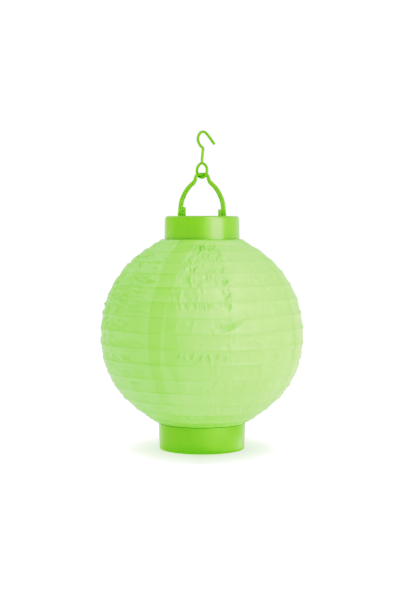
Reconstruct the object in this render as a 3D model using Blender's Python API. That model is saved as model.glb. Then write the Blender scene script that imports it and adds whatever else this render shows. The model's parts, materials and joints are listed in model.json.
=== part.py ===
"""Round ribbed fabric lantern with a solar cap, hung by a bail and a wire hook.

Heights are given in millimetres above the foot of the base ring. The finished
parts are in metres with the hanging point of the hook at the origin, +Z up.
"""

import math

import bmesh
import bpy
from mathutils import Matrix, Vector

for old in list(bpy.data.objects):
    bpy.data.objects.remove(old, do_unlink=True)

# ---------------------------------------------------------------- dimensions
HANG_H = 310.6  # inside top of the hook, where the lantern hangs
SEGS = 36  # facets round the big rings

SHADE_R = 99.6  # middle of the fabric
SHADE_H = 113.9  # centre of the round shade
FABRIC_T = 0.6
HOOPS = 15
HOOP_TOP_DEG = 63.3  # latitude of the uppermost hoop
HOOP_STEP_DEG = 8.49
HOOP_WIRE_R = 0.6
HOOP_PULL = {12: 0.6, 13: 2.6, 14: 4.0}  # the lowest hoops stand inside the sphere: the shade narrows straight to its base

CAP_R = 36.9
CAP_TOP_R = 36.5
CAP_LOW_H = 205.4
CAP_TOP_H = 229.7
CAP_ROUND = 4.3
CAP_WALL = 2.0
DECK_H = 225.2  # sunk top face of the cap
DECK_T = 2.2
RECESS_R = 30.2

EAR_IN, EAR_OUT = 16.0, 18.3  # distance of an ear's faces from the middle
EAR_HALF = 2.9
PIVOT_H = 234.2
PEG_R = 1.2
SHOULDER_R = 2.8  # between a leg and its ear
PEG_HOLE_R = 1.5

BAR_H = 270.4  # middle of the bail's apex
BAR_R = 1.45
LEG_R = 2.25

WIRE_R = 1.3  # hook wire
EYE_R = 6.9
EYE_GAP = 0.4  # play between the eye and the bail's apex
HOOK_TURN = math.radians(45.0)  # the hook's plane, turned about the vertical

BASE_R, BASE_LOW_R = 43.0, 42.0
BASE_IN_R = 40.1
BASE_TOP_H = 25.8
FOOT_IN_R = 36.4

HEM_TOP_R = 34.15
HEM_LOW_R = 39.45
COLLAR_IN, COLLAR_OUT = 31.2, 33.4
CLAMP_IN, CLAMP_OUT = 36.6, 38.8

PANEL_X, PANEL_Y = 30.0, 42.0
TRAY_R = 30.6
TRAY_LOW, TRAY_TOP = 206.6, 208.8
SCREW_SPOTS = ((0.0, 26.5), (-22.9, -13.25), (22.9, -13.25))
CELL_Y, CELL_H = 14.0, 214.6  # battery axis
DOOR_SCREW = (0.0, 5.0)
LED_Y = -4.0
SWITCH_X, SWITCH_Y, SWITCH_TRAVEL = 9.5, -14.0, 3.0

GREEN = (0.21, 0.60, 0.03)
PALE_GREEN = (0.46, 0.75, 0.25)
STEEL = (0.62, 0.63, 0.62)


# ------------------------------------------------------------------ geometry
def ring(profile, segs=SEGS, cx=0.0, cy=0.0):
    """A closed profile of (radius, height) turned round the vertical."""
    n = len(profile)
    verts, faces = [], []
    for i in range(segs):
        a = 2 * math.pi * i / segs
        verts += [(cx + r * math.cos(a), cy + r * math.sin(a), h) for r, h in profile]
    for i in range(segs):
        j = (i + 1) % segs
        for k in range(n):
            m = (k + 1) % n
            faces.append((i * n + k, j * n + k, j * n + m, i * n + m))
    return verts, faces


def turned(profile, segs=16, cx=0.0, cy=0.0):
    """An open profile of (radius, height), closed by flat ends."""
    n = len(profile)
    verts, faces = [], []
    for i in range(segs):
        a = 2 * math.pi * i / segs
        verts += [(cx + r * math.cos(a), cy + r * math.sin(a), h) for r, h in profile]
    for i in range(segs):
        j = (i + 1) % segs
        for k in range(n - 1):
            faces.append((i * n + k, j * n + k, j * n + k + 1, i * n + k + 1))
    faces.append(tuple(i * n for i in range(segs)))
    faces.append(tuple(i * n + n - 1 for i in range(segs)))
    return verts, faces


def lying(profile, segs, cy, ch):
    """An open profile of (x, radius) turned round a line along X."""
    verts, faces = turned([(r, x) for x, r in profile], segs)
    return [(h, cy + x, ch + y) for x, y, h in verts], faces


def prism(points, low, top):
    n = len(points)
    verts = [(x, y, low) for x, y in points] + [(x, y, top) for x, y in points]
    faces = [tuple(range(n)), tuple(range(n, 2 * n))]
    faces += [(i, (i + 1) % n, n + (i + 1) % n, n + i) for i in range(n)]
    return verts, faces


def box(x0, x1, y0, y1, low, top):
    return prism([(x0, y0), (x1, y0), (x1, y1), (x0, y1)], low, top)


def frame_plate(ox, oy, ix, iy, low, top):
    outer = [(-ox, -oy), (ox, -oy), (ox, oy), (-ox, oy)]
    inner = [(-ix, -iy), (ix, -iy), (ix, iy), (-ix, iy)]
    verts = [(x, y, h) for h in (low, top) for ps in (outer, inner) for x, y in ps]
    faces = []
    for i in range(4):
        j = (i + 1) % 4
        faces += [(i, j, 4 + j, 4 + i), (8 + i, 8 + j, 12 + j, 12 + i)]
        faces += [(i, j, 8 + j, 8 + i), (4 + i, 4 + j, 12 + j, 12 + i)]
    return verts, faces


def tube(path, radii, sides):
    """A round rod along a path, with flat ends."""
    pts = [Vector(p) for p in path]
    if not isinstance(radii, (list, tuple)):
        radii = [radii] * len(pts)
    tangents = []
    for i in range(len(pts)):
        a, b = pts[max(i - 1, 0)], pts[min(i + 1, len(pts) - 1)]
        tangents.append((b - a).normalized())
    side = tangents[0].orthogonal().normalized()
    verts, faces = [], []
    for i, (p, t) in enumerate(zip(pts, tangents)):
        if i:
            side = tangents[i - 1].rotation_difference(t) @ side
        side = (side - t * side.dot(t)).normalized()
        up = t.cross(side)
        for k in range(sides):
            a = 2 * math.pi * (k + 0.5) / sides
            verts.append(tuple(p + (side * math.cos(a) + up * math.sin(a)) * radii[i]))
    for i in range(len(pts) - 1):
        for k in range(sides):
            m = (k + 1) % sides
            faces.append((i * sides + k, i * sides + m, (i + 1) * sides + m, (i + 1) * sides + k))
    faces.append(tuple(range(sides)))
    faces.append(tuple(range((len(pts) - 1) * sides, len(pts) * sides)))
    return verts, faces


def thickened(line, t):
    """Both sides of a (radius, height) line, as one closed profile."""
    left, right = [], []
    for i, (r, h) in enumerate(line):
        normals = []
        for a, b in ((i - 1, i), (i, i + 1)):
            if a >= 0 and b < len(line):
                dr, dh = line[b][0] - line[a][0], line[b][1] - line[a][1]
                length = math.hypot(dr, dh)
                normals.append((-dh / length, dr / length))
        nr = sum(n[0] for n in normals) / len(normals)
        nh = sum(n[1] for n in normals) / len(normals)
        scale = (t / 2) / (nr * nr + nh * nh)
        left.append((r + nr * scale, h + nh * scale))
        right.append((r - nr * scale, h - nh * scale))
    return left + right[::-1]


# ------------------------------------------------------------------- objects
def material(name, colour, rough, metal=0.0):
    mat = bpy.data.materials.get(name) or bpy.data.materials.new(name)
    mat.use_nodes = True
    shader = mat.node_tree.nodes["Principled BSDF"]
    shader.inputs["Base Color"].default_value = (*colour, 1.0)
    shader.inputs["Roughness"].default_value = rough
    shader.inputs["Metallic"].default_value = metal
    return mat


def rough_object(name, geo):
    mesh = bpy.data.meshes.new(name)
    mesh.from_pydata(geo[0], [], geo[1])
    work = bmesh.new()
    work.from_mesh(mesh)
    bmesh.ops.recalc_face_normals(work, faces=work.faces)
    work.to_mesh(mesh)
    work.free()
    ob = bpy.data.objects.new(name, mesh)
    bpy.context.scene.collection.objects.link(ob)
    return ob


def combine(ob, geo, operation):
    other = rough_object("tool", geo)
    mod = ob.modifiers.new("shape", "BOOLEAN")
    mod.object = other
    mod.operation = operation
    mod.solver = "EXACT"
    bpy.context.view_layer.update()
    graph = bpy.context.evaluated_depsgraph_get()
    mesh = bpy.data.meshes.new_from_object(ob.evaluated_get(graph))
    ob.modifiers.clear()
    before = ob.data
    ob.data = mesh
    bpy.data.meshes.remove(before)
    bpy.data.objects.remove(other, do_unlink=True)


def placed(ob, mat, origin):
    """From millimetres above the foot to metres about the piece's own origin."""
    ob.data.transform(Matrix.Translation(-Vector(origin)))
    ob.data.transform(Matrix.Scale(0.001, 4))
    ob.location = (origin[0] * 0.001, origin[1] * 0.001, (origin[2] - HANG_H) * 0.001)
    ob.data.materials.clear()
    ob.data.materials.append(mat)
    return ob


def piece(name, geo, mat, origin=(0.0, 0.0, PIVOT_H), joined=(), cuts=()):
    ob = rough_object(name, geo)
    for g in joined:
        combine(ob, g, "UNION")
    for g in cuts:
        combine(ob, g, "DIFFERENCE")
    return placed(ob, mat, origin)


green = material("green_plastic", GREEN, 0.35)
green_wire = material("green_wire", GREEN, 0.3)
nylon = material("pale_nylon", PALE_GREEN, 0.7)
spring_steel = material("rib_wire", STEEL, 0.35, 1.0)
screw_steel = material("screw_steel", STEEL, 0.3, 1.0)
white = material("white_plastic", (0.85, 0.85, 0.82), 0.45)
black = material("black_plastic", (0.02, 0.02, 0.02), 0.4)
foam = material("foam", (0.03, 0.03, 0.03), 0.9)
board = material("panel_board", (0.05, 0.05, 0.06), 0.5)
silicon = material("silicon", (0.01, 0.02, 0.08), 0.25)
resin = material("clear_resin", (0.8, 0.82, 0.85), 0.1)
sleeve = material("battery_sleeve", (0.02, 0.18, 0.35), 0.4)
pcb = material("circuit_board", (0.03, 0.16, 0.06), 0.5)
lens = material("led_lens", (0.9, 0.88, 0.7), 0.1)
copper = material("contact", (0.75, 0.7, 0.55), 0.3, 1.0)
red = material("red_lead", (0.6, 0.02, 0.02), 0.5)
dark = material("black_lead", (0.02, 0.02, 0.02), 0.5)

# --------------------------------------------------------------- wire hook
def hook_path():
    eye_h = BAR_H - BAR_R - EYE_GAP - WIRE_R + EYE_R
    flat = []
    for k in range(16):  # the eye, from its free end round to the shank
        a = math.radians(20 + k * (346 - 20) / 15)
        flat.append((EYE_R * math.sin(a), eye_h + EYE_R * math.cos(a)))
    flat += [(-0.47, eye_h + 7.48), (0.0, eye_h + 8.83)]
    flat += [(0.6, 289.0), (1.45, 294.8), (1.25, 295.9), (0.3, 296.8), (-1.5, 297.7), (-2.9, 299.1)]
    for k in range(12):  # the open hook
        a = math.radians(222 - k * (222 - 50) / 11)
        flat.append((1.2 + 6.83 * math.cos(a), 305.1 + 6.83 * math.sin(a)))
    flat += [(7.7, 308.6), (9.9, 306.5), (13.2, 303.1), (17.0, 299.2)]
    c, s = math.cos(HOOK_TURN), math.sin(HOOK_TURN)
    return [(u * c, -u * s, h) for u, h in flat]


piece("hanging_hook", tube(hook_path(), WIRE_R, 6), green_wire, (0, 0, HANG_H))

# --------------------------------------------------------------------- bail
BAIL_LINE = (  # half of the bail: distance from the middle, height, radius
    (21.55, 229.3, 1.5),
    (21.55, 229.9, LEG_R),
    (21.35, 232.0, LEG_R),
    (21.2, 234.2, LEG_R),
    (20.85, 239.1, LEG_R),
    (19.7, 245.0, 2.2),
    (18.5, 248.0, 2.2),
    (16.7, 252.0, 2.15),
    (14.95, 254.9, 2.15),
    (12.7, 257.9, 2.1),
    (10.6, 260.1, 2.05),
    (8.4, 262.1, 2.0),
    (6.95, 264.3, 1.8),
    (6.3, 266.6, 1.65),
    (5.6, 268.9, 1.5),
    (4.2, 270.2, BAR_R),
)
half = [((-x, 0.0, h), r) for x, h, r in BAIL_LINE]
other = [((x, 0.0, h), r) for x, h, r in reversed(BAIL_LINE)]
whole = half + [((0.0, 0.0, BAR_H), BAR_R)] + other
pegs = [
    lying(((-21.2, PEG_R), (-15.6, PEG_R)), 10, 0.0, PIVOT_H),
    lying(((15.6, PEG_R), (21.2, PEG_R)), 10, 0.0, PIVOT_H),
    lying(((-21.0, SHOULDER_R), (-18.65, SHOULDER_R)), 10, 0.0, PIVOT_H),
    lying(((18.65, SHOULDER_R), (21.0, SHOULDER_R)), 10, 0.0, PIVOT_H),
]
piece(
    "bail_handle",
    tube([p for p, _ in whole], [r for _, r in whole], 8),
    green,
    (0, 0, BAR_H),
    joined=pegs,
)

# ---------------------------------------------------------------- solar cap
profile = [(RECESS_R, DECK_H), (RECESS_R, CAP_TOP_H - 0.6), (RECESS_R + 0.6, CAP_TOP_H)]
for deg in (90, 60, 30, 0):
    a = math.radians(deg)
    profile.append(
        (
            CAP_TOP_R - CAP_ROUND + CAP_ROUND * math.cos(a),
            CAP_TOP_H - CAP_ROUND + CAP_ROUND * math.sin(a),
        )
    )
profile += [(CAP_R, CAP_LOW_H), (CAP_R - CAP_WALL, CAP_LOW_H), (CAP_R - CAP_WALL - 0.2, DECK_H - DECK_T)]


def ear(side):
    outline = [(-EAR_HALF, DECK_H - 1.0), (EAR_HALF, DECK_H - 1.0)]
    for k in range(7):
        a = math.pi * k / 6
        outline.append((EAR_HALF * math.cos(a), PIVOT_H + EAR_HALF * math.sin(a)))
    verts, faces = prism(outline, EAR_IN, EAR_OUT)
    return [(side * d, y, h) for y, h, d in verts], faces


bosses = [turned([(3.0, 209.2), (3.0, DECK_H - 1.0)], 12, x, y) for x, y in SCREW_SPOTS]
pilots = [turned([(1.45, 208.0), (1.45, 219.0)], 10, x, y) for x, y in SCREW_SPOTS]
piece(
    "cap_shell",
    turned(profile, SEGS),
    green,
    joined=[ear(1), ear(-1)] + bosses,
    cuts=[lying(((-22, PEG_HOLE_R), (22, PEG_HOLE_R)), 12, 0.0, PIVOT_H), box(-4, 4, -2, 2, 221, 227)] + pilots,
)

hx, hy = PANEL_X / 2, PANEL_Y / 2
piece("panel_seal", frame_plate(hx - 0.5, hy - 0.5, hx - 3, hy - 3, 225.5, 226.1), foam)
piece("panel_board", box(-hx, hx, -hy, hy, 226.4, 227.4), board)
for n in range(4):
    y = (n - 1.5) * 10.0
    piece("solar_cell_%d" % (n + 1), box(-13.6, 13.6, y - 4.7, y + 4.7, 227.7, 227.95), silicon)
piece("panel_resin", box(-hx, hx, -hy, hy, 228.25, 229.2), resin)

# ------------------------------------------------------ tray and electronics
bay = [
    box(-19.5, 19.5, 7.2, 8.4, 208.0, 213.0),
    box(-19.5, 19.5, 19.6, 20.8, 208.0, 213.0),
    box(-19.5, -18.3, 7.6, 20.4, 208.0, 213.0),
    box(18.3, 19.5, 7.6, 20.4, 208.0, 213.0),
    turned([(2.6, 208.0), (2.6, 212.4)], 10, *DOOR_SCREW),
]
posts = [turned([(1.5, 208.0), (1.5, 211.3)], 8, x, y) for x in (-14, 14) for y in (-20.5, -2.0)]
piece(
    "inner_tray",
    turned([(TRAY_R, TRAY_LOW), (TRAY_R, TRAY_TOP)], SEGS),
    white,
    joined=bay + posts,
    cuts=[
        box(-18.3, 18.3, 8.4, 19.6, 206.0, 214.0),
        turned([(2.95, 206.0), (2.95, 209.5)], 14, 0.0, LED_Y),
        box(8.0, 14.0, SWITCH_Y - 1.5, SWITCH_Y + 1.5, 206.0, 209.5),
        turned([(1.4, 206.0), (1.4, 211.7)], 10, *DOOR_SCREW),
    ]
    + [turned([(1.5, 206.0), (1.5, 209.5)], 10, x, y) for x, y in SCREW_SPOTS],
)
for n, (x, y) in enumerate(SCREW_SPOTS):
    piece(
        "tray_screw_%d" % (n + 1),
        turned([(2.0, 204.6), (2.5, 205.0), (2.5, 206.3), (1.1, 206.3), (1.1, 215.5), (0.4, 216.6)], 10, x, y),
        screw_steel,
    )

piece(
    "battery",
    lying(((-12.0, 4.6), (-11.6, 5.0), (15.9, 5.0), (16.4, 4.5), (16.4, 2.0), (17.3, 1.9)), 16, CELL_Y, CELL_H),
    sleeve,
)
coil = []
for k in range(37):
    t = k / 36
    a = 2 * math.pi * 3.0 * t
    r = 3.6 - 1.3 * t
    coil.append((-17.1 + 4.5 * t, CELL_Y + r * math.cos(a), CELL_H + r * math.sin(a)))
piece("battery_spring", tube(coil, 0.3, 5), spring_steel)
piece("battery_minus_plate", box(-18.0, -17.7, CELL_Y - 3.5, CELL_Y + 3.5, 210.8, 217.8), copper)
piece("battery_plus_plate", box(17.7, 18.0, CELL_Y - 3.5, CELL_Y + 3.5, 210.8, 217.8), copper)
piece(
    "battery_door",
    prism(
        [(-20.5, 6.8), (-4.0, 6.8), (-4.0, 2.2), (4.0, 2.2), (4.0, 6.8), (20.5, 6.8), (20.5, 21.0), (-20.5, 21.0)],
        204.7,
        206.3,
    ),
    white,
    cuts=[turned([(1.4, 204.0), (1.4, 207.0)], 10, *DOOR_SCREW)],
)
piece(
    "battery_door_screw",
    turned([(1.7, 203.0), (2.1, 203.3), (2.1, 204.4), (1.05, 204.4), (1.05, 210.4), (0.4, 211.2)], 10, *DOOR_SCREW),
    screw_steel,
)

piece("circuit_board", box(-17, 17, -23, 1, 211.6, 212.8), pcb)
piece("driver_chip", box(-8.1, -3.9, -8.9, -7.1, 213.1, 216.4), black)
piece("inductor", lying(((2.6, 1.0), (3.0, 1.5), (9.0, 1.5), (9.4, 1.0)), 12, -8.0, 214.7), material("inductor", (0.1, 0.3, 0.12), 0.4))
piece(
    "led",
    turned([(0.7, 203.2), (1.6, 203.7), (2.25, 204.6), (2.5, 205.7), (2.5, 210.2), (2.8, 210.3), (2.8, 211.3)], 14, 0.0, LED_Y),
    lens,
)
piece("switch_body", box(6.7, 15.3, SWITCH_Y - 2.2, SWITCH_Y + 2.2, 209.1, 211.3), black)
piece(
    "switch_knob",
    box(SWITCH_X - 1.1, SWITCH_X + 1.1, SWITCH_Y - 1.1, SWITCH_Y + 1.1, 203.8, 208.8),
    black,
    (SWITCH_X, SWITCH_Y, 206.3),
)

LEAD_R = 0.5
piece(
    "panel_lead_red",
    tube([(-2, 0, 226.1), (-2, 0, 223.6), (-2.2, -0.2, 221), (-4, -1.5, 217.8), (-9, -4, 215.8), (-11.6, -5.6, 214.6), (-12.2, -6, 213.2)], LEAD_R, 6),
    red,
)
piece(
    "panel_lead_black",
    tube([(2, 0, 226.1), (2, 0, 223.6), (2.2, -0.2, 221), (4, -1.5, 217.8), (9, -3.6, 215.8), (11.6, -4.4, 214.6), (12.2, -4.6, 213.2)], LEAD_R, 6),
    dark,
)
for name, side, mat in (("battery_lead_red", 1, red), ("battery_lead_black", -1, dark)):
    line = [(18.4, 14, 216.4), (19.6, 13.4, 217.0), (20.9, 11, 217.6), (20.9, 4, 217.4), (18.0, -2.5, 215.8), (15.8, -4.6, 214.6), (15.4, -5, 213.2)]
    piece(name, tube([(side * x, y, h) for x, y, h in line], LEAD_R, 6), mat)

# --------------------------------------------------------------------- shade
piece("top_collar", ring([(COLLAR_IN, 203.6), (COLLAR_OUT, 203.6), (COLLAR_OUT, 213.0), (COLLAR_IN, 213.0)]), white)

latitudes = [math.radians(HOOP_TOP_DEG - HOOP_STEP_DEG * k) for k in range(HOOPS)]
line = [
    (HEM_TOP_R, 211.5),
    (HEM_TOP_R, CAP_LOW_H - 0.65),
    (37.6, CAP_LOW_H - 0.65),
    (41.2, 204.35),
]
line += [(SHADE_R * math.cos(a) - HOOP_PULL.get(k, 0), SHADE_H + SHADE_R * math.sin(a)) for k, a in enumerate(latitudes)]
line += [(43.4, BASE_TOP_H + 0.7), (HEM_LOW_R, BASE_TOP_H + 0.65), (HEM_LOW_R, 16.5)]
piece("shade_fabric", ring(thickened(line, FABRIC_T)), nylon)

for n, a in enumerate(latitudes):
    r = (SHADE_R - 1.3) * math.cos(a) - HOOP_PULL.get(n, 0)
    h = SHADE_H + (SHADE_R - 1.3) * math.sin(a)
    w = HOOP_WIRE_R
    piece(
        "rib_hoop_%02d" % (n + 1),
        ring([(r + w, h), (r, h + w), (r - w, h), (r, h - w)]),
        spring_steel,
        (0, 0, h),
    )

piece(
    "base_ring",
    ring(
        [
            (BASE_R, BASE_TOP_H),
            (BASE_LOW_R, 1.0),
            (BASE_LOW_R - 0.8, 0.0),
            (FOOT_IN_R, 0.0),
            (FOOT_IN_R, 2.0),
            (BASE_IN_R, 2.4),
            (BASE_IN_R, BASE_TOP_H),
        ]
    ),
    green,
    (0, 0, 0),
)
piece("base_clamp_ring", ring([(CLAMP_IN, 14.5), (CLAMP_OUT, 14.5), (CLAMP_OUT, 25.4), (CLAMP_IN, 25.4)]), white, (0, 0, 0))
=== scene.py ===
"""Looks of the round ribbed fabric lantern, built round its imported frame."""

import json
import math

import bmesh
import bpy
import numpy as np
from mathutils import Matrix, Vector
from mathutils.geometry import tessellate_polygon

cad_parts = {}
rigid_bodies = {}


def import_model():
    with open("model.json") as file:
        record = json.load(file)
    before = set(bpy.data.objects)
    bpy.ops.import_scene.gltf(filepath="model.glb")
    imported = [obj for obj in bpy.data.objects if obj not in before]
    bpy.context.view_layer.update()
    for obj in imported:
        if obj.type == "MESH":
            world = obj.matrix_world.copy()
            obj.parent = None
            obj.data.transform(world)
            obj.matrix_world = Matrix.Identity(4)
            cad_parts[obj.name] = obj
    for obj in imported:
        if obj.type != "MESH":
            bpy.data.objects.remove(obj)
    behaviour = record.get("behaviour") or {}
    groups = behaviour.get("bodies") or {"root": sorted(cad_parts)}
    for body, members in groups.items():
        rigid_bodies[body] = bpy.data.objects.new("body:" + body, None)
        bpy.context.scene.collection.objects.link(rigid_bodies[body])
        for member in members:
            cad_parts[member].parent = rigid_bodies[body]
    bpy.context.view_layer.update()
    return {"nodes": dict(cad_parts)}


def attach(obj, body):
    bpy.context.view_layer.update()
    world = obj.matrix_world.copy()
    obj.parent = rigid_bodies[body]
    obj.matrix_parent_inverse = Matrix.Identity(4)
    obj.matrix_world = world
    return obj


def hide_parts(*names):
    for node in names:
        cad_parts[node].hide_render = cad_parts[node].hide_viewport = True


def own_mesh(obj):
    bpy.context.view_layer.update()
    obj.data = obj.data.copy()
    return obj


for stray in list(bpy.data.objects):
    bpy.data.objects.remove(stray, do_unlink=True)

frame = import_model()
NODES = frame["nodes"]

# Heights are in millimetres above the foot, as in the construction; the frame's origin is the hanging point.
HANG_H = 310.6
SHADE_R, SHADE_H = 99.6, 113.9
LATS = [math.radians(63.3 - 8.49 * k) for k in range(15)]
PULL = [0.0] * 12 + [0.6, 2.6, 4.0]  # the lowest hoops stand inside the sphere
PIVOT_H, BAR_H, BAR_R = 234.2, 270.4, 1.45
WIRE_R, EYE_R, EYE_GAP = 1.3, 6.9, 0.4
HOOK_TURN = math.radians(45.0)
CAP_LOW_H, BASE_TOP_H = 205.4, 25.8
SCREW_SPOTS = ((0.0, 26.5), (-22.9, -13.25), (22.9, -13.25))
DOOR_SCREW = (0.0, 5.0)
LED_Y, SWITCH_X, SWITCH_Y = -4.0, 9.5, -14.0
SEAMS_DEG = [-28.0 + 45.0 * k for k in range(8)]  # from the front, to the right


def metres(points):
    p = np.asarray(points, float)
    return (p - np.array([0.0, 0.0, HANG_H])) * 0.001


# ------------------------------------------------------------------- meshes
def new_mesh(name, verts, faces, sharp_deg=40.0):
    mesh = bpy.data.meshes.new(name)
    mesh.from_pydata([tuple(v) for v in metres(verts)], [], faces)
    work = bmesh.new()
    work.from_mesh(mesh)
    bmesh.ops.recalc_face_normals(work, faces=work.faces)
    work.to_mesh(mesh)
    work.free()
    mesh.shade_smooth()
    if sharp_deg:
        mesh.set_sharp_from_angle(angle=math.radians(sharp_deg))
    ob = bpy.data.objects.new(name, mesh)
    bpy.context.scene.collection.objects.link(ob)
    return ob


def rounded(profile, radii, steps=6, closed=True):
    """A profile with its corners turned into arcs of the given radii."""
    out, n = [], len(profile)
    for i, p in enumerate(profile):
        rad = radii[i]
        if not rad or (not closed and i in (0, n - 1)):
            out.append(tuple(p))
            continue
        p = np.array(p, float)
        a = np.array(profile[i - 1], float) - p
        b = np.array(profile[(i + 1) % n], float) - p
        la, lb = np.linalg.norm(a), np.linalg.norm(b)
        a, b = a / la, b / lb
        half = math.acos(max(-1.0, min(1.0, float(a @ b)))) / 2
        back = min(rad / math.tan(half), 0.49 * la, 0.49 * lb)
        rad = back * math.tan(half)
        mid = (a + b) / np.linalg.norm(a + b)
        centre = p + mid * (rad / math.sin(half))
        start, end = p + a * back - centre, p + b * back - centre
        for k in range(steps + 1):
            t = k / steps
            v = start * (1 - t) + end * t
            v = v / np.linalg.norm(v) * rad
            out.append(tuple(centre + v))
    return out


def lathe(name, profile, segs=144, closed=True, cx=0.0, cy=0.0, sharp_deg=40.0):
    """A (radius, height) profile turned round the vertical. An open profile starts and ends on the axis."""
    verts, rows, faces = [], [], []
    for r, h in profile:
        if r < 1e-6:
            rows.append([len(verts)])
            verts.append((cx, cy, h))
        else:
            rows.append(list(range(len(verts), len(verts) + segs)))
            for i in range(segs):
                a = 2 * math.pi * i / segs
                verts.append((cx + r * math.cos(a), cy + r * math.sin(a), h))
    pairs = list(zip(rows, rows[1:]))
    if closed:
        pairs.append((rows[-1], rows[0]))
    for a, b in pairs:
        for i in range(segs):
            j = (i + 1) % segs
            if len(a) == 1 and len(b) == 1:
                continue
            if len(a) == 1:
                faces.append((a[0], b[j], b[i]))
            elif len(b) == 1:
                faces.append((a[i], a[j], b[0]))
            else:
                faces.append((a[i], a[j], b[j], b[i]))
    return new_mesh(name, verts, faces, sharp_deg)


def smooth_line(points, per=6):
    """Catmull-Rom through rows of numbers."""
    p = np.asarray(points, float)
    p = np.vstack([2 * p[0] - p[1], p, 2 * p[-1] - p[-2]])
    out = []
    for i in range(1, len(p) - 2):
        a, b, c, d = p[i - 1], p[i], p[i + 1], p[i + 2]
        for k in range(per):
            t = k / per
            out.append(
                0.5 * (2 * b + (c - a) * t + (2 * a - 5 * b + 4 * c - d) * t * t + (3 * b - a - 3 * c + d) * t**3)
            )
    out.append(p[-2])
    return np.array(out)


def sweep(name, path, section, scale=None, side0=None, sharp_deg=40.0, dome=0.0):
    """A closed section carried along a path. dome rounds the two ends by that length."""
    pts = [Vector(p) for p in path]
    n = len(pts)
    scale = list(scale) if scale is not None else [1.0] * n
    tang = [(pts[min(i + 1, n - 1)] - pts[max(i - 1, 0)]).normalized() for i in range(n)]
    if dome:
        for last in (False, True):
            end = len(pts) - 1 if last else 0
            t = tang[end] * (1 if last else -1)
            extra = []
            for k in range(1, 6):
                a = math.pi / 2 * k / 5.4
                extra.append((pts[end] + t * dome * math.sin(a), scale[end] * math.cos(a), tang[end]))
            if not last:
                extra.reverse()
                pts = [e[0] for e in extra] + pts
                scale = [e[1] for e in extra] + scale
                tang = [e[2] for e in extra] + tang
            else:
                pts += [e[0] for e in extra]
                scale += [e[1] for e in extra]
                tang += [e[2] for e in extra]
            n = len(pts)
    side = Vector(side0) if side0 else tang[0].orthogonal().normalized()
    m = len(section)
    verts, faces = [], []
    for i in range(n):
        if i:
            side = tang[i - 1].rotation_difference(tang[i]) @ side
        side = (side - tang[i] * side.dot(tang[i])).normalized()
        up = tang[i].cross(side)
        for sx, sy in section:
            verts.append(tuple(pts[i] + (side * sx + up * sy) * scale[i]))
    for i in range(n - 1):
        for k in range(m):
            q = (k + 1) % m
            faces.append((i * m + k, i * m + q, (i + 1) * m + q, (i + 1) * m + k))
    faces.append(tuple(range(m)))
    faces.append(tuple(range((n - 1) * m, n * m)))
    return new_mesh(name, verts, faces, sharp_deg)


def circle(radius, n=16):
    return [(radius * math.cos(2 * math.pi * k / n), radius * math.sin(2 * math.pi * k / n)) for k in range(n)]


def boxes(name, spans, bevel=0.0):
    """Several plain bars in one mesh, each given by its six limits."""
    verts, faces = [], []
    for x0, x1, y0, y1, h0, h1 in spans:
        n = len(verts)
        verts += [(x, y, h) for h in (h0, h1) for x, y in ((x0, y0), (x1, y0), (x1, y1), (x0, y1))]
        faces += [tuple(n + k for k in f) for f in ((0, 3, 2, 1), (4, 5, 6, 7), (0, 1, 5, 4), (1, 2, 6, 5), (2, 3, 7, 6), (3, 0, 4, 7))]
    ob = new_mesh(name, verts, faces, 30.0)
    if bevel:
        work = bmesh.new()
        work.from_mesh(ob.data)
        bmesh.ops.bevel(work, geom=list(work.edges), offset=bevel * 0.001, segments=3, profile=0.5, affect="EDGES")
        work.to_mesh(ob.data)
        work.free()
        ob.data.shade_smooth()
        ob.data.set_sharp_from_angle(angle=math.radians(40))
    return ob


def cross_screw(name, x, y, profile, arm, half, depth):
    """A turned screw with a cross recess in the face of its head, which looks down. The profile starts at that face."""
    segs = 40
    verts, faces = [], []
    for r, h in profile:
        for i in range(segs):
            a = 2 * math.pi * i / segs
            verts.append((x + r * math.cos(a), y + r * math.sin(a), h))
    for j in range(len(profile) - 1):
        for i in range(segs):
            k = (i + 1) % segs
            faces.append((j * segs + i, j * segs + k, (j + 1) * segs + k, (j + 1) * segs + i))
    faces.append(tuple(range((len(profile) - 1) * segs, len(profile) * segs)))
    cross = [(arm, half), (half, half), (half, arm), (-half, arm), (-half, half), (-arm, half)]
    cross += [(-a, -b) for a, b in cross]
    low = profile[0][1]
    start = len(verts)
    verts += [(x + a, y + b, low) for a, b in cross]
    verts += [(x + 0.8 * a, y + 0.8 * b, low + depth) for a, b in cross]
    n = len(cross)
    outline = [Vector((*verts[i][:2], 0)) for i in range(segs)]
    hole = [Vector((*verts[start + i][:2], 0)) for i in reversed(range(n))]
    order = list(range(segs)) + [start + i for i in reversed(range(n))]
    faces += [tuple(order[i] for i in f) for f in tessellate_polygon([outline, hole])]
    faces += [(start + i, start + (i + 1) % n, start + n + (i + 1) % n, start + n + i) for i in range(n)]
    faces.append(tuple(start + n + i for i in range(n)))
    return new_mesh(name, verts, faces, 30.0)


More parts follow.
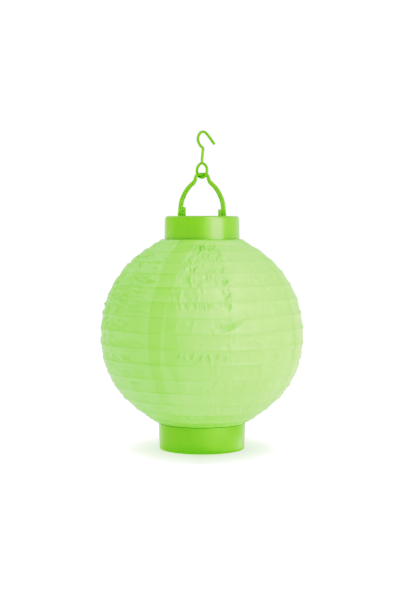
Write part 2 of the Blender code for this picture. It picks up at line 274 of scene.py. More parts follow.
def extruded(name, outline, low, top, axes, bevel=0.3, segments=3):
    """An outline of (a, b) extruded from low to top along c, with all edges rounded. axes puts a, b, c on x, y, h."""
    n = len(outline)
    raw = [(a, b, low) for a, b in outline] + [(a, b, top) for a, b in outline]
    verts = []
    for v in raw:
        p = [0.0, 0.0, 0.0]
        for value, axis in zip(v, axes):
            p[axis] = value
        verts.append(p)
    faces = [tuple(range(n)), tuple(range(n, 2 * n))]
    faces += [(i, (i + 1) % n, n + (i + 1) % n, n + i) for i in range(n)]
    ob = new_mesh(name, verts, faces, None)
    work = bmesh.new()
    work.from_mesh(ob.data)
    edges = [e for e in work.edges if e.calc_face_angle(0.0) > math.radians(20)]
    bmesh.ops.bevel(work, geom=edges, offset=bevel * 0.001, segments=segments, profile=0.5, affect="EDGES")
    work.to_mesh(ob.data)
    work.free()
    ob.data.shade_smooth()
    ob.data.set_sharp_from_angle(angle=math.radians(40))
    return ob


# ---------------------------------------------------------------- materials
def material(name):
    mat = bpy.data.materials.new(name)
    mat.use_nodes = True
    tree = mat.node_tree
    return mat, tree, tree.nodes["Principled BSDF"]


def node(tree, kind, **values):
    n = tree.nodes.new(kind)
    for key, value in values.items():
        if key.startswith("in_"):
            n.inputs[key[3:].replace("_", " ")].default_value = value
        else:
            setattr(n, key, value)
    return n


def coords(tree, scale=(1, 1, 1)):
    tex = node(tree, "ShaderNodeTexCoord")
    mapping = node(tree, "ShaderNodeMapping")
    mapping.inputs["Scale"].default_value = scale
    tree.links.new(tex.outputs["Object"], mapping.inputs["Vector"])
    return mapping.outputs["Vector"]


def noise(tree, vector, scale, detail=4.0, rough=0.55):
    n = node(tree, "ShaderNodeTexNoise")
    n.inputs["Scale"].default_value = scale
    n.inputs["Detail"].default_value = detail
    n.inputs["Roughness"].default_value = rough
    tree.links.new(vector, n.inputs["Vector"])
    return n.outputs["Fac"]


def ramp(tree, fac, stops):
    n = node(tree, "ShaderNodeValToRGB")
    while len(n.color_ramp.elements) < len(stops):
        n.color_ramp.elements.new(0.5)
    for e, (at, colour) in zip(n.color_ramp.elements, stops):
        e.position = at
        e.color = (*colour, 1.0) if len(colour) == 3 else colour
    tree.links.new(fac, n.inputs["Fac"])
    return n.outputs["Color"]


def spread(tree, fac, low, high, a=0.3, b=0.7):
    n = node(tree, "ShaderNodeMapRange")
    for key, value in (("From Min", a), ("From Max", b), ("To Min", low), ("To Max", high)):
        n.inputs[key].default_value = value
    tree.links.new(fac, n.inputs["Value"])
    return n.outputs["Result"]


def bump(tree, shader, height, strength, distance):
    n = node(tree, "ShaderNodeBump")
    n.inputs["Strength"].default_value = strength
    n.inputs["Distance"].default_value = distance
    tree.links.new(height, n.inputs["Height"])
    tree.links.new(n.outputs["Normal"], shader.inputs["Normal"])


def moulded(name, dark, light, rough=(0.26, 0.36), grain=0.12, specular=0.4, coat=0.0, metallic=0.0):
    """Moulded or coated surface: slight clouding of the colour, uneven gloss and a fine skin texture."""
    mat, tree, shader = material(name)
    where = coords(tree)
    cloud = noise(tree, where, 60.0, 3.0)
    fine = noise(tree, where, 2600.0, 2.0)
    tree.links.new(ramp(tree, cloud, [(0.3, dark), (0.7, light)]), shader.inputs["Base Color"])
    tree.links.new(spread(tree, noise(tree, where, 180.0, 2.0), *rough, 0.1, 0.9), shader.inputs["Roughness"])
    shader.inputs["Specular IOR Level"].default_value = specular
    shader.inputs["Metallic"].default_value = metallic
    shader.inputs["Coat Weight"].default_value = coat
    bump(tree, shader, fine, grain, 0.0001)
    return mat


GREEN_PLASTIC = moulded("green_plastic", (0.200, 0.500, 0.037), (0.216, 0.522, 0.047), (0.26, 0.33), 0.05, 0.5)
GREEN_BASE = moulded("green_plastic_base", (0.192, 0.478, 0.037), (0.208, 0.500, 0.047), (0.28, 0.35), 0.05, 0.32)
# painted light: a brighter copy of the cap's green plastic, used for the bail and the cap's ears so that they read
# lighter in the shade they stand in
GREEN_PLASTIC_BRIGHTENED = moulded("green_plastic_brightened", (0.264, 0.652, 0.038), (0.283, 0.676, 0.050), (0.26, 0.33), 0.05, 0.32)
tree = GREEN_PLASTIC_BRIGHTENED.node_tree
shader = tree.nodes["Principled BSDF"]
# painted light: the colour is darkened higher up the bail, which leaves the feet, pegs and ears painted brighter where
# the cap's rim shades them
paler = node(tree, "ShaderNodeMix", data_type="RGBA", blend_type="MULTIPLY")  # paler towards the feet
paler.inputs["Factor"].default_value = 1.0
tree.links.new(shader.inputs["Base Color"].links[0].from_socket, paler.inputs["A"])
split = node(tree, "ShaderNodeSeparateXYZ")
tree.links.new(coords(tree), split.inputs[0])
up = spread(tree, split.outputs["Z"], 0.0, 1.0, (234.0 - HANG_H) * 0.001, (248.0 - HANG_H) * 0.001)
tree.links.new(ramp(tree, up, [(0.0, (1.0, 1.0, 1.0)), (1.0, (0.74, 0.74, 0.80))]), paler.inputs["B"])
tree.links.new(paler.outputs["Result"], shader.inputs["Base Color"])
# thin mouldings let some light through
shader.inputs["Subsurface Weight"].default_value = 0.5
shader.inputs["Subsurface Radius"].default_value = (1.0, 1.0, 0.6)
shader.inputs["Subsurface Scale"].default_value = 0.0025
GREEN_WIRE = moulded("green_wire", (0.177, 0.455, 0.024), (0.196, 0.479, 0.034), (0.24, 0.34), 0.15, 0.3)
WHITE_PLASTIC = moulded("white_plastic", (0.78, 0.78, 0.74), (0.84, 0.84, 0.80), (0.38, 0.5), 0.2)
BLACK_PLASTIC = moulded("black_plastic", (0.012, 0.012, 0.013), (0.022, 0.022, 0.024), (0.35, 0.5), 0.25)
STEEL_WIRE = moulded("rib_wire", (0.55, 0.57, 0.55), (0.66, 0.67, 0.65), (0.28, 0.4), 0.2, 0.5, 0.0, 1.0)


def fabric_material(name, lit=0.0):
    """Thin woven nylon: light goes through a single layer, less of it through the two layers at the seams. The
    attribute that marks the seams also carries painted shade below the cap at the front and low on the left.

    lit stands for the daylight that comes in through the rest of the cloth."""
    mat, tree, shader = material(name)
    out = tree.nodes["Material Output"]
    where = coords(tree)
    # the seams' two layers darken the colour and let less light through; the same attribute adds painted shade below
    # the cap and low on the left
    seam = node(tree, "ShaderNodeAttribute", attribute_name="doubled_and_painted_shade")
    cloud = noise(tree, coords(tree, (1, 1, 0.35)), 55.0, 4.0)
    streak = noise(tree, coords(tree, (1, 1, 0.06)), 700.0, 3.0)
    body = ramp(tree, cloud, [(0.25, (0.293, 0.596, 0.145)), (0.75, (0.320, 0.627, 0.172))])
    thin = node(tree, "ShaderNodeMix", data_type="RGBA", blend_type="MULTIPLY")
    thin.inputs["Factor"].default_value = 0.35
    tree.links.new(body, thin.inputs["A"])
    tree.links.new(ramp(tree, streak, [(0.25, (0.86, 0.93, 0.74)), (0.75, (1, 1, 1))]), thin.inputs["B"])
    deep = node(tree, "ShaderNodeMix", data_type="RGBA")
    deep.inputs["B"].default_value = (0.232, 0.515, 0.094, 1.0)
    tree.links.new(seam.outputs["Fac"], deep.inputs["Factor"])
    tree.links.new(thin.outputs["Result"], deep.inputs["A"])
    # painted shadow: the hoop wires show as darker lines through the cloth, more strongly on the left than on the right
    wire = node(tree, "ShaderNodeAttribute", attribute_name="wire")
    shaded = node(tree, "ShaderNodeMix", data_type="RGBA", blend_type="MULTIPLY")
    shaded.inputs["B"].default_value = (0.84, 0.92, 0.72, 1.0)
    tree.links.new(wire.outputs["Fac"], shaded.inputs["Factor"])
    tree.links.new(deep.outputs["Result"], shaded.inputs["A"])
    colour = shaded.outputs["Result"]
    tree.links.new(colour, shader.inputs["Base Color"])
    if lit:
        tree.links.new(colour, shader.inputs["Emission Color"])
        shader.inputs["Emission Strength"].default_value = lit
    tree.links.new(spread(tree, noise(tree, where, 420.0, 4.0), 0.40, 0.50), shader.inputs["Roughness"])
    shader.inputs["Specular IOR Level"].default_value = 0.52
    shader.inputs["Sheen Weight"].default_value = 0.02
    shader.inputs["Sheen Roughness"].default_value = 0.5
    # plain weave, and the fine crinkle that thin nylon keeps from being folded
    warp = node(tree, "ShaderNodeTexWave", wave_type="BANDS", bands_direction="Z")
    warp.inputs["Scale"].default_value = 900.0
    warp.inputs["Distortion"].default_value = 1.5
    tree.links.new(where, warp.inputs["Vector"])
    weave = node(tree, "ShaderNodeBump")
    weave.inputs["Strength"].default_value = 0.10
    weave.inputs["Distance"].default_value = 0.00006
    tree.links.new(warp.outputs["Fac"], weave.inputs["Height"])
    crinkle = node(tree, "ShaderNodeBump")
    crinkle.inputs["Strength"].default_value = 0.30
    crinkle.inputs["Distance"].default_value = 0.0004
    tree.links.new(noise(tree, coords(tree, (1, 1, 0.7)), 330.0, 3.0, 0.6), crinkle.inputs["Height"])
    tree.links.new(weave.outputs["Normal"], crinkle.inputs["Normal"])
    line = node(tree, "ShaderNodeMath", operation="SUBTRACT")
    line.inputs[1].default_value = 0.5
    tree.links.new(noise(tree, coords(tree, (1, 1, 0.42)), 210.0, 1.5, 0.5), line.inputs[0])
    size = node(tree, "ShaderNodeMath", operation="ABSOLUTE")
    tree.links.new(line.outputs["Value"], size.inputs[0])
    crest = spread(tree, size.outputs["Value"], 1.0, 0.0, 0.0, 0.035)
    patch = spread(tree, noise(tree, where, 75.0, 2.0), 0.0, 1.0, 0.48, 0.62)
    sparse = node(tree, "ShaderNodeMath", operation="MULTIPLY")
    tree.links.new(crest, sparse.inputs[0])
    tree.links.new(patch, sparse.inputs[1])
    crease = node(tree, "ShaderNodeBump")
    crease.inputs["Strength"].default_value = 0.5
    crease.inputs["Distance"].default_value = 0.0003
    tree.links.new(sparse.outputs["Value"], crease.inputs["Height"])
    tree.links.new(crinkle.outputs["Normal"], crease.inputs["Normal"])
    tree.links.new(crease.outputs["Normal"], shader.inputs["Normal"])
    glow = node(tree, "ShaderNodeBsdfTranslucent")
    tree.links.new(colour, glow.inputs["Color"])
    mix = node(tree, "ShaderNodeMixShader")
    share = node(tree, "ShaderNodeMapRange")
    share.inputs["To Min"].default_value = 0.14
    share.inputs["To Max"].default_value = 0.08
    tree.links.new(seam.outputs["Fac"], share.inputs["Value"])
    tree.links.new(share.outputs["Result"], mix.inputs["Fac"])
    tree.links.new(shader.outputs["BSDF"], mix.inputs[1])
    tree.links.new(glow.outputs["BSDF"], mix.inputs[2])
    tree.links.new(mix.outputs["Shader"], out.inputs["Surface"])
    return mat


# -------------------------------------------------------------------- fabric
def lattice_noise(u, v, cells_u, cells_v, seed):
    """Smooth noise in -1..1 on u in turns (it repeats every turn) and v in 0..1."""
    rng = np.random.default_rng(seed)
    grid = rng.uniform(-1, 1, (cells_v + 3, cells_u))
    x, y = (u % 1.0) * cells_u, np.clip(v, 0, 1) * cells_v
    i, j = np.floor(x).astype(int), np.floor(y).astype(int)
    fx, fy = x - i, y - j
    fx, fy = fx * fx * (3 - 2 * fx), fy * fy * (3 - 2 * fy)
    i0, i1, j1 = i % cells_u, (i + 1) % cells_u, j + 1
    top = grid[j, i0] * (1 - fx) + grid[j, i1] * fx
    low = grid[j1, i0] * (1 - fx) + grid[j1, i1] * fx
    return top * (1 - fy) + low * fy


def step(x, a, b):
    t = np.clip((x - a) / (b - a), 0, 1)
    return t * t * (3 - 2 * t)


def shade_rows():
    """The meridian from the upper hem to the lower one: (radius, height, band, place in the band)."""
    stations = [(34.15, 210.8), (34.15, 205.9), (34.7, 205.2), (36.9, 205.1), (37.75, 205.9), (38.7, 206.9), (40.2, 206.7)]
    hoops = [(SHADE_R * math.cos(a) - q, SHADE_H + SHADE_R * math.sin(a)) for a, q in zip(LATS, PULL)]
    tail = [(43.5, 26.4), (42.5, 25.94), (40.3, 25.92), (39.55, 25.6), (39.45, 25.0), (39.45, 17.2)]
    rows = []
    for a, b in zip(stations, stations[1:] + hoops[:1]):
        for t in (0.0, 0.5):
            rows.append((a[0] + (b[0] - a[0]) * t, a[1] + (b[1] - a[1]) * t, -1, t))
    ts = [0.0, 0.05, 0.115, 0.2, 0.3, 0.4, 0.5, 0.6, 0.7, 0.8, 0.885, 0.95]
    for k, (a, b) in enumerate(zip(hoops, hoops[1:] + tail[:1])):
        for t in ts:
            rows.append((a[0] + (b[0] - a[0]) * t, a[1] + (b[1] - a[1]) * t, k, t))
    for a, b in zip(tail, tail[1:]):
        for t in (0.0,) if a[1] < 25 else (0.0, 0.5):
            rows.append((a[0] + (b[0] - a[0]) * t, a[1] + (b[1] - a[1]) * t, 15, t))
    rows.append((*tail[-1], 15, 0.0))
    return np.array(rows, float)


def build_fabric():
    rows = shade_rows()
    r, h, band, t = rows.T
    inside = (band >= 0) & (band < 15)
    tr, th = np.gradient(r), np.gradient(h)
    length = np.hypot(tr, th)
    nr, nh = -th / length, tr / length  # outward, as the rows run downwards
    # at the hoops the normal is the sphere's own
    arc = np.concatenate([[0], np.cumsum(np.hypot(np.diff(r), np.diff(h)))])
    down = arc / arc[-1]
    # columns, in degrees from the front to the right: closer together at the front
    columns = np.concatenate([np.arange(-96, -72, 1.0), np.arange(-72, 72, 0.5), np.arange(72, 96, 1.0), np.arange(96, 264, 2.1)])
    segs = len(columns)
    D, V = np.meshgrid((columns + 180.0) % 360.0 - 180.0, down)
    A = D / 360.0
    H = np.repeat(h[:, None], segs, 1)
    R = np.repeat(r[:, None], segs, 1)
    T = np.repeat(t[:, None], segs, 1)
    K = np.repeat(band[:, None], segs, 1)
    IN = np.repeat(inside[:, None], segs, 1)
    hollow = np.where(IN, 4 * T * (1 - T), 0.0)
    width = 15.0
    gap = np.where(IN, np.minimum(T, 1 - T) * width, 9.0)
    gap = np.where(K == 14, np.where(T < 0.5, T * width, 9.0), gap)
    near_hoop = np.exp(-((gap / 0.95) ** 2))

    # cloth draws in between the hoops, unevenly
    slack = 0.50 + 0.22 * lattice_noise(A, V, 24, 16, 11) + 0.12 * lattice_noise(A, V, 60, 32, 12)
    push = -slack * hollow * np.interp(H, [45, 80, 150, 190], [0.6, 0.9, 0.9, 0.15])
    push += 0.48 * near_hoop + 0.45 * step(H, 45, 80) * (1 - step(H, 170, 195)) * IN

    # the cloth is closed by one broad overlap at the front left; the other gores meet in narrow seams
    doubled_and_painted_shade = np.zeros_like(A)
    ridge = np.zeros_like(A)
    held = np.zeros_like(A)
    for n, s in enumerate(SEAMS_DEG):
        sway = 1.2 * np.sin(V * 5.0 + n * 1.7) + 0.5 * lattice_noise(A * 0 + n * 0.1, V, 10, 24, 31)
        d = (D - s - sway + 180.0) % 360.0 - 180.0
        along = np.radians(d) * R
        if n == 0:
            shift = np.interp(H, [40, 62, 75, 90, 145, 166, 188, 203], [3.0, 2.9, 2.6, 1.5, 1.2, 2.2, 1.8, 0.4])
            edge = np.radians((D + 31.8 - shift - 0.35 * sway + 180.0) % 360.0 - 180.0) * R
            wide = np.interp(H, [20, 63, 114, 160, 203], [7.5, 9.4, 13.0, 16.5, 18.0])
            faint = np.interp(H, [48, 58, 68, 130, 175, 195], [0.0, 0.35, 0.5, 0.5, 0.9, 1.0])
            doubled_and_painted_shade = np.maximum(doubled_and_painted_shade, faint * step(edge, -0.5, 0.5) * (1 - step(edge - wide, -0.6, 0.6)))
            start = np.interp(H, [62, 75, 95], [-13.5, -15.5, -20.2])
            strip = step(D - start, -0.6, 0.6) * (1 - step(D, -15.0, -11.5)) * step(H, 56, 66) * (1 - step(H, 160, 172))
            doubled_and_painted_shade = np.maximum(doubled_and_painted_shade, 0.40 * strip)
            ridge = np.maximum(ridge, 0.35 * np.exp(-((edge / 0.8) ** 2)))
        elif n == 1:
            ridge = np.maximum(ridge, 0.7 * np.exp(-((along / 0.8) ** 2)))
        else:
            ridge = np.maximum(ridge, 0.8 * np.exp(-((along / 0.7) ** 2)))
            doubled_and_painted_shade = np.maximum(doubled_and_painted_shade, 0.6 * step(along, -0.6, 0.2) * (1 - step(along, 5.6, 6.6)))
        held = np.maximum(held, np.exp(-((along / 9.0) ** 2)))
    calm = 1 - 0.75 * doubled_and_painted_shade  # two layers crease less
    # painted shade: darker cloth at the front just below the cap, where the cap shades it, and low on the left, away
    # from the light; it goes into the same attribute as the two-layer cloth at the seams
    painted_shade = 0.34 * step(H, 158, 188) * step(D, -26, -20) * (1 - step(D, 15, 20))
    painted_shade += 0.30 * step(-D, 45, 75) * (1 - step(H, 85, 120))
    doubled_and_painted_shade = np.maximum(doubled_and_painted_shade, painted_shade)
    push += 0.20 * doubled_and_painted_shade + 0.40 * ridge * (0.4 + 0.6 * hollow)

    # creases die out at the hoops that hold the cloth taut
    loose = np.sqrt(np.clip(hollow, 0, 1)) * calm

    def creased(u, cells_u, cells_v, seed, power=2.0):
        """Noise with narrow crests, as creases have."""
        return (1 - np.abs(lattice_noise(u, V, cells_u, cells_v, seed))) ** power - 0.45

    bent = A + 0.0050 * lattice_noise(A, V, 34, 22, 51) + 0.0022 * lattice_noise(A, V, 90, 50, 52)
    patchy = 0.15 + 0.85 * step(lattice_noise(A, V, 46, 24, 53) + 0.5 * lattice_noise(A, V, 90, 40, 54), -0.35, 0.40)
    upright = (creased(bent + 0.22 * V, 170, 26, 41, 2.2) + creased(bent - 0.12 * V, 130, 21, 42, 2.2)) * patchy
    level = (creased(bent + 0.5 * V, 44, 66, 43, 2.2) + 0.7 * creased(bent - 0.8 * V, 56, 60, 44, 2.2)) * (0.3 + 0.7 * patchy)
    soft = lattice_noise(A, V, 120, 17, 45)
    front = step(D, -27, -14) * (1 - step(D, 16.5, 18.0))
    left = (1 - step(D, -33, -31)) * step(D, -130, -110)
    right = step(D, 16.5, 18.0) * (1 - step(D, 100, 120))
    rest = np.clip(1 - front - left - right, 0, 1)
    high = 1 - step(V, 0.34, 0.46)
    middle = step(V, 0.34, 0.46)
    push += loose * front * (1.95 * high + 0.60 * middle) * upright
    push += loose * left * (1.35 + 1.15 * high) * level
    push += loose * right * (0.45 * soft + 0.46 * upright + 0.44 * level)
    push += loose * rest * (0.32 * upright + 0.36 * level)
    # on the left the cloth also lies in a wavy fold just above each hoop
    above = np.where(IN, (1 - T) * width, 9.0) - 2.1 - 0.7 * lattice_noise(A, V, 60, 30, 55)
    fold = np.exp(-((above / 0.75) ** 2)) * step(lattice_noise(A, V, 30, 30, 56), -0.5, 0.4)
    push += (left + 0.35 * front) * calm * fold * (0.85 * high + 0.5 * middle)
    # puckers across the seams
    push += 0.26 * loose * held * lattice_noise(A * 3.0, V, 48, 110, 24)
    # gathers where the cloth is drawn into the cap and the base ring
    top = 1 - step(V, 0.05, 0.20)
    low = step(V, 0.87, 0.96)
    push += (0.40 * top + 0.30 * low) * np.where(IN, 0.35 + 0.65 * loose, 0.0) * calm * lattice_noise(A, V, 110, 14, 25)

    # single strokes: place in degrees and height, length, slope, width, rise
    strokes = [
        (17.0, 127.5, 34.0, 22.0, 1.2, -1.1),
        (16.0, 130.2, 30.0, 22.0, 1.1, 0.9),
        (-12.0, 99.5, 9.0, 62.0, 0.95, 0.83),
        (-8.5, 99.0, 8.0, -58.0, 0.95, 0.83),
        (-4.5, 99.5, 9.0, 55.0, 0.95, 0.90),
        (0.0, 98.5, 9.0, 66.0, 0.95, 0.75),
        (4.5, 99.0, 8.0, -62.0, 0.95, 0.83),
        (9.0, 99.5, 9.0, 58.0, 0.95, 0.75),
        (13.5, 99.0, 8.0, 70.0, 0.95, 0.68),
        (27.0, 113.5, 12.0, 24.0, 1.3, 0.5),
        (33.0, 112.0, 12.0, -20.0, 1.3, 0.45),
        (39.0, 113.0, 12.0, 26.0, 1.3, 0.5),
        (45.0, 112.0, 10.0, -24.0, 1.3, 0.4),
        (38.0, 172.0, 11.0, 35.0, 1.3, 0.5),
        (47.0, 173.0, 11.0, -30.0, 1.3, 0.5),
        (56.0, 171.0, 11.0, 38.0, 1.3, 0.45),
    ]
    rng = np.random.default_rng(5)
    for _ in range(54):  # crisp short ones high up at the front, most of them close to the right-hand seam
        strokes.append(
            (
                16.5 - 30.0 * rng.random() ** 1.6,
                SHADE_H + SHADE_R * math.sin(math.radians(rng.uniform(30, 62))),
                rng.uniform(5, 11),
                rng.uniform(48, 100),
                rng.uniform(0.75, 1.15),
                rng.choice([-0.7, 1, 1]) * rng.uniform(0.35, 0.75),
            )
        )
    for _ in range(18):  # and level ones that end at that seam
        strokes.append(
            (
                17.0 - rng.uniform(0.8, 4.0),
                rng.uniform(150, 196),
                rng.uniform(4, 7),
                rng.uniform(-14, 14),
                rng.uniform(0.7, 1.0),
                rng.choice([-1, 1]) * rng.uniform(0.3, 0.55),
            )
        )
    for _ in range(26):  # long level ones on the left
        strokes.append(
            (
                rng.uniform(-84, -36),
                SHADE_H + SHADE_R * math.sin(math.radians(rng.uniform(-30, 55))),
                rng.uniform(10, 24),
                rng.uniform(-8, 30),
                rng.uniform(0.9, 1.4),
                rng.choice([-0.7, 1]) * rng.uniform(0.3, 0.6),
            )
        )
    for _ in range(120):
        strokes.append(
            (
                rng.uniform(-180, 180),
                SHADE_H + SHADE_R * math.sin(math.radians(rng.uniform(-58, 62))),
                rng.uniform(6, 18),
                rng.choice([-1, 1]) * rng.uniform(15, 70),
                rng.uniform(1.0, 1.8),
                rng.choice([-1, 1]) * rng.uniform(0.18, 0.42),
            )
        )
    for at, height, size, slope, wide, rise in strokes:
        across = np.radians((D - at + 180) % 360 - 180) * R
        up = arc[np.argmin(np.abs(np.where(inside, h, 1e9) - height))] - np.repeat(arc[:, None], segs, 1)
        c, s = math.cos(math.radians(slope)), math.sin(math.radians(slope))
        along, off = across * c + up * s, -across * s + up * c
        body = np.clip(1 - (along / (size / 2)) ** 2, 0, 1) ** 1.5
        push += 2.3 * rise * body * np.exp(-((off / wide) ** 2)) * (0.25 + 0.75 * loose) * calm * IN

    # the outer face carries the creases; the inner one, inside it, is coarser
    inner_rows = sorted(set(range(0, len(r), 2)) | {len(r) - 1})
    low_push = push.copy()
    for dj in range(-2, 3):
        for di in range(-4, 5):
            shifted = np.roll(push, di, 1)
            if dj < 0:
                shifted = np.vstack([shifted[-dj:], np.repeat(shifted[-1:], -dj, 0)])
            elif dj > 0:
                shifted = np.vstack([np.repeat(shifted[:1], dj, 0), shifted[:-dj]])
            low_push = np.minimum(low_push, np.where(IN, shifted, push))
    bearing = np.radians(D)

    def placed(offset):
        q, z = R + offset * nr[:, None], H + offset * nh[:, None]
        return np.stack([q * np.sin(bearing), -q * np.cos(bearing), z], -1)

    outer, inner = placed(push), placed(low_push - 0.25)[inner_rows][:, ::4]
    n, cols, m, cols2 = len(r), segs, len(inner_rows), segs // 4
    assert cols % 4 == 0
    start = n * cols
    verts = np.vstack([outer.reshape(-1, 3), inner.reshape(-1, 3)])
    j, i = np.meshgrid(np.arange(n - 1), np.arange(cols), indexing="ij")
    k = (i + 1) % cols
    quads = np.stack([j * cols + i, (j + 1) * cols + i, (j + 1) * cols + k, j * cols + k], -1).reshape(-1, 4)
    j, i = np.meshgrid(np.arange(m - 1), np.arange(cols2), indexing="ij")
    k = (i + 1) % cols2
    back = np.stack([j * cols2 + i, j * cols2 + k, (j + 1) * cols2 + k, (j + 1) * cols2 + i], -1).reshape(-1, 4) + start
    tris = []
    for c in range(cols2):
        d = (c + 1) % cols2
        for e in range(4):
            o, q = 4 * c + e, (4 * c + e + 1) % cols
            tris.append((o, q, start + c))
            o, q = o + (n - 1) * cols, q + (n - 1) * cols
            tris.append((q, o, start + (m - 1) * cols2 + c))
        tris.append((4 * d, start + d, start + c))
        tris.append((start + (m - 1) * cols2 + d, 4 * d + (n - 1) * cols, start + (m - 1) * cols2 + c))
    faces = [tuple(int(x) for x in f) for f in np.vstack([quads, back])] + tris
    ob = new_mesh("shade_cloth", verts, faces, None)
    inward = np.zeros(len(faces), np.int32)
    inward[len(quads) : len(quads) + len(back)] = 1
    ob.data.polygons.foreach_set("material_index", inward)

    def spread_out(values):
        return np.concatenate([values.reshape(-1), values[inner_rows][:, ::4].reshape(-1)]).astype(np.float32)
    # the wire attribute is painted shadow of the hoop wires on the cloth, stronger on the left, away from the light
    for name, values in (("doubled_and_painted_shade", doubled_and_painted_shade), ("wire", np.exp(-((gap / 0.62) ** 2)) * (0.55 + 0.45 * lattice_noise(A, V, 40, 60, 57)) * (1.25 - 1.0 * step(D, -40, 40)))):
        layer = ob.data.attributes.new(name, "FLOAT", "POINT")
        layer.data.foreach_set("value", spread_out(values))
    return ob


cloth = build_fabric()
cloth.data.materials.append(fabric_material("nylon"))
cloth.data.materials.append(fabric_material("nylon_inside", 0.55))
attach(cloth, "solar_cap")
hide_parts("shade_fabric")
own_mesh(cloth)


def wear(ob, mat, body, slot, *nodes):
    ob.data.materials.clear()
    ob.data.materials.append(mat)
    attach(ob, body)
    if nodes:
        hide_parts(*nodes)
    return ob


# ------------------------------------------------------------------ rib hoops
for k, a in enumerate(LATS):
    r = (SHADE_R - 2.6) * math.cos(a) - PULL[k]  # far enough inside for the folded cloth to clear the wire
    h = SHADE_H + (SHADE_R - 1.7) * math.sin(a)
    wire = [(r + 0.4 * math.cos(2 * math.pi * i / 12), h + 0.4 * math.sin(2 * math.pi * i / 12)) for i in range(12)]
    name = "rib_hoop_%02d" % (k + 1)
    wear(lathe("wire_" + name[4:], wire, 120), STEEL_WIRE, name, "rib_wire", name)

# ----------------------------------------------------------------- base ring
base = lathe(
    "base_moulding",
    rounded(
        [(42.95, 25.8), (42.6, 13.0), (41.9, 0.0), (36.4, 0.0), (36.4, 2.0), (40.1, 2.4), (40.1, 25.8)],
        [0.25, 0, 1.1, 0.4, 0.4, 0.8, 0.3],
    ),
    180,
)
wear(base, GREEN_BASE, "base", "green_plastic", "base_ring")
clamp = lathe(
    "base_clamp",
    rounded([(36.6, 14.5), (38.8, 14.5), (38.8, 25.4), (36.6, 25.4)], [0.4, 0.4, 0.4, 0.4], 4),
    144,
)
wear(clamp, WHITE_PLASTIC, "base", "white_plastic", "base_clamp_ring")

# ----------------------------------------------------------------------- cap
cap = lathe(
    "cap_moulding",
    rounded(
        [(0, 225.2), (30.2, 225.2), (30.2, 229.7), (36.5, 229.7), (36.9, 205.4), (34.9, 205.4), (34.7, 223.0), (0, 223.0)],
        [0, 0.5, 0.8, 4.3, 0.15, 0.3, 0.6, 0],
        8,
        closed=False,
    ),
    180,
    closed=False,
)
wear(cap, GREEN_PLASTIC, "solar_cap", "green_plastic", "cap_shell")
for side in (-1, 1):
    crown = PIVOT_H + (1.3 if side < 0 else -0.9)
    outline = [(-2.9, 224.6), (2.9, 224.6)]
    outline += [(2.9 * math.cos(math.pi * k / 14), crown + 2.9 * math.sin(math.pi * k / 14)) for k in range(15)]
    ear = extruded("cap_ear_" + ("left" if side < 0 else "right"), outline, 15.8, 18.5, (1, 2, 0), 0.2)
    if side < 0:
        for v in ear.data.vertices:
            v.co.x = -v.co.x
        ear.data.flip_normals()
    wear(ear, GREEN_PLASTIC_BRIGHTENED, "solar_cap", "green_plastic")

# ---------------------------------------------------------------------- bail
BAIL_LINE = (
    (21.65, 228.5, 1.0),
    (21.45, 231.2, 1.0),
    (21.2, 234.2, 1.0),
    (20.85, 239.1, 1.0),
    (19.7, 245.0, 0.98),
    (18.5, 248.0, 0.98),
    (16.7, 252.0, 0.96),
    (14.95, 254.9, 0.95),
    (12.7, 257.9, 0.93),
    (10.6, 260.1, 0.91),
    (8.4, 262.1, 0.89),
    (6.95, 264.3, 0.80),
    (6.3, 266.6, 0.74),
    (5.6, 268.9, 0.68),
    (4.2, 270.2, 0.66),
)
line = [(-x, h, s) for x, h, s in BAIL_LINE] + [(0.0, BAR_H, 0.70)] + [(x, h, s) for x, h, s in reversed(BAIL_LINE)]
line = smooth_line(line, 5)
section = []
for k in range(28):
    a = 2 * math.pi * k / 28
    c, s = math.cos(a), math.sin(a)
    p = (abs(c) ** 2.6 + abs(s) ** 2.6) ** (-1 / 2.6)
    groove = 0.30 * math.exp(-(((abs(s) - 1.0) / 0.035) ** 2))
    section.append((2.45 * p * c, (2.2 * p - groove) * s))
bail = sweep("bail_rod", [(x, 0.0, h) for x, h, _ in line], section, [s for _, _, s in line], (1, 0, 0), 50.0, dome=0.9)
wear(bail, GREEN_PLASTIC_BRIGHTENED, "bail", "green_plastic", "bail_handle")
for side in (-1, 1):
    peg = sweep(
        "bail_peg_" + ("left" if side < 0 else "right"),
        [(side * x, 0.0, PIVOT_H) for x in (20.6, 18.0, 16.2)],
        circle(1.2, 20),
        dome=0.5,
    )
    wear(peg, GREEN_PLASTIC_BRIGHTENED, "bail", "green_plastic")
    outline = [(-2.0, 228.2), (2.0, 228.2)]
    outline += [(2.0 * math.cos(math.pi * k / 14), 235.4 + 2.0 * math.sin(math.pi * k / 14)) for k in range(15)]
    foot = extruded("bail_foot_" + ("left" if side < 0 else "right"), outline, 18.62, 20.9, (1, 2, 0), 0.3)
    if side < 0:
        for v in foot.data.vertices:
            v.co.x = -v.co.x
        foot.data.flip_normals()
    wear(foot, GREEN_PLASTIC_BRIGHTENED, "bail", "green_plastic")

